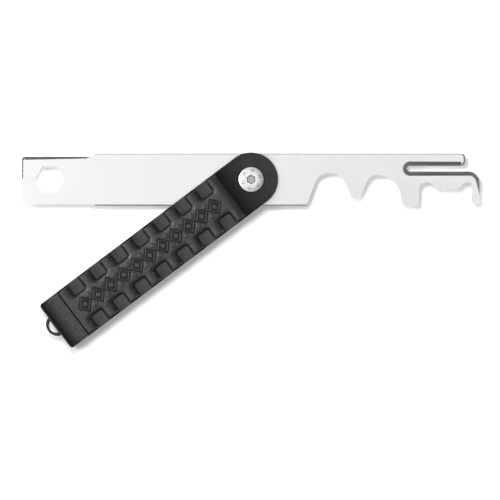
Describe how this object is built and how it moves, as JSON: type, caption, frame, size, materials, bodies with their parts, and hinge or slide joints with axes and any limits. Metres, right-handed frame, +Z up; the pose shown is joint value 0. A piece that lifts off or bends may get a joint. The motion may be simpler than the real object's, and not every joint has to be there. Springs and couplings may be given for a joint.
{
  "type": "folding scraper multi tool",
  "caption": "Flat steel scraper bar with a hex opening, curved scraping arches and a slotted hook, turning at its middle in a ribbed open-sided handle with a lanyard loop.",
  "frame": {"origin": "on the pivot axis, in the plane of the pivot nut's flat head, which the tool lies on", "axes": "+X along the bar towards its hook end, +Y towards the bar's straight long edge, +Z up through the pivot, from the nut to the screw head"},
  "size_m": [0.1672, 0.071, 0.013],
  "materials": {
    "bar_steel": "satin stainless, finely brushed across the bar",
    "liner_steel": "plain stainless sheet",
    "moulded_nylon": "black glass-filled nylon with a fine moulded grain",
    "grip_rubber": "matt black soft moulding, slightly warm",
    "screw_steel": "bright turned stainless",
    "dark_steel": "dark oxide steel, semi-matt",
    "brass": "plain turned brass"
  },
  "bodies": {
    "handle": {"front_liner": "liner_steel", "rear_liner": "liner_steel", "front_scale": "moulded_nylon", "rear_scale": "moulded_nylon", "front_grip": "grip_rubber", "rear_grip": "grip_rubber", "front_washer": "brass", "rear_washer": "brass", "pivot_screw": "screw_steel", "pivot_nut": "screw_steel", "pivot_bush": "brass", "spring_washer": "dark_steel", "stop_pin": "dark_steel", "lanyard_loop": "dark_steel", "left_tail_screw": "dark_steel", "right_tail_screw": "dark_steel", "left_tail_insert": "brass", "right_tail_insert": "brass"},
    "bar": {"tool_bar": "bar_steel"}
  },
  "joints": [
    {"name": "bar_pivot", "type": "hinge", "parent": "handle", "child": "bar", "pos_m": [0, 0, 0.0065], "axis": [0, 0, 1], "range_deg": [-143, 37]}
  ]
}
